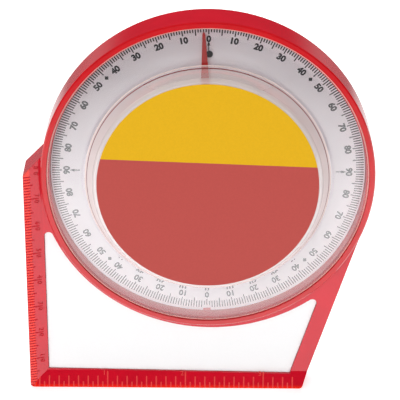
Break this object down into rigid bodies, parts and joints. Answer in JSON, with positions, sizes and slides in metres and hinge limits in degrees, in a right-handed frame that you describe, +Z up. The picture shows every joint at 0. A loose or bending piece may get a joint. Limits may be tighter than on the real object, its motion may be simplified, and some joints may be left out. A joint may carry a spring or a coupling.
{
  "type": "dial angle meter",
  "caption": "Red magnetic-base dial angle meter: a weighted pointer swings over a degree scale behind a clear lens, with ruled left and lower edges.",
  "frame": {"origin": "middle of the magnetic base face, half way along it and half way through the body", "axes": "+Z up from the base face to the dial, +X to the right as the dial is read, -Y out of the dial towards the reader"},
  "size_m": [0.1093, 0.0172, 0.1272],
  "materials": {
    "red_shell": "gloss",
    "rear_shell": "satin",
    "white_sheet": "satin",
    "dial_sheet": "matte",
    "clear_moulding": "clear gloss",
    "label_print": "satin print",
    "black_moulding": "satin",
    "red_pointer": "satin",
    "zinc_weight": "as cast",
    "bright_steel": "ground",
    "plated_steel": "zinc plated",
    "turned_brass": "turned",
    "ferrite": "fired ceramic"
  },
  "bodies": {
    "housing": {"front_body": "red_shell", "rear_cover": "rear_shell", "cover_screws": "plated_steel", "white_panel": "white_sheet", "scale_dial": "dial_sheet", "dial_peg": "black_moulding", "lens": "clear_moulding", "label_disc": "label_print", "pivot_axle": "bright_steel", "washer_rear": "plated_steel", "washer_front": "plated_steel", "retaining_clip": "bright_steel", "pole_strip_rear": "plated_steel", "pole_strip_front": "plated_steel", "magnet_left": "ferrite", "magnet_middle": "ferrite", "magnet_right": "ferrite"},
    "pendulum": {"pointer": "red_pointer", "hub_bush": "turned_brass", "counterweight": "zinc_weight", "weight_rivets": "plated_steel"}
  },
  "joints": [
    {"name": "pointer_swing", "type": "hinge", "parent": "housing", "child": "pendulum", "pos_m": [0.0131, 0, 0.0753], "axis": [0, -1, 0], "continuous": true}
  ]
}
